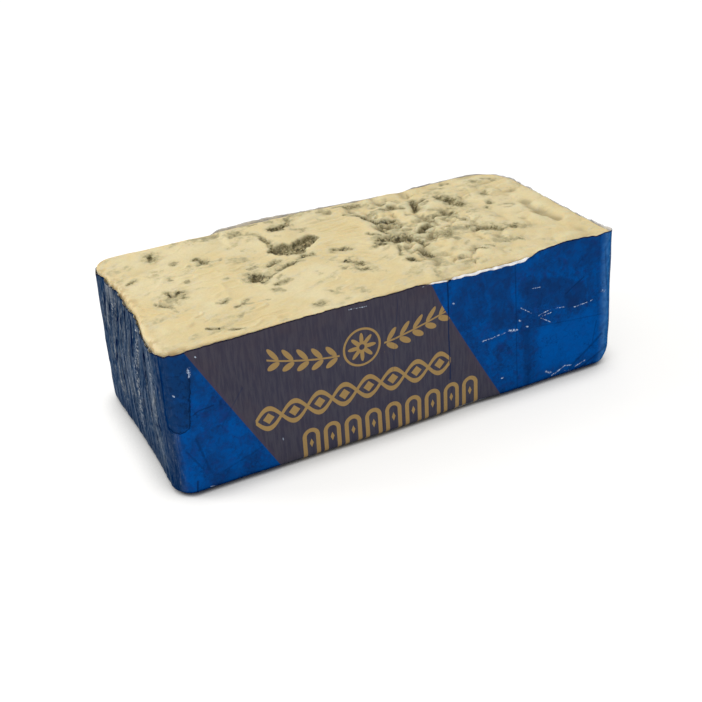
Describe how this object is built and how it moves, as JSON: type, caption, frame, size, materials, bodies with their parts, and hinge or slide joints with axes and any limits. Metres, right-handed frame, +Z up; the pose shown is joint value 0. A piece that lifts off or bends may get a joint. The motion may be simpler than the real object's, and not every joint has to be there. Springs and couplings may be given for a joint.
{
  "type": "danish blue cheese",
  "caption": "Half loaf of blue-veined cow's milk cheese, cut side up, standing in the lower half of its printed foil wrapper.",
  "frame": {"origin": "on the surface the cheese stands on, under the middle of the block", "axes": "+X along the block to its right end, +Y to the back away from the printed side, +Z up through the cut face"},
  "size_m": [0.2207, 0.1027, 0.0701],
  "materials": {
    "cheese": "moist, with grey-green mould pockets",
    "foil": "blue lacquered foil, creased"
  },
  "bodies": {
    "root": {"cheese": "cheese", "foil_wrap": "foil"}
  },
  "joints": []
}
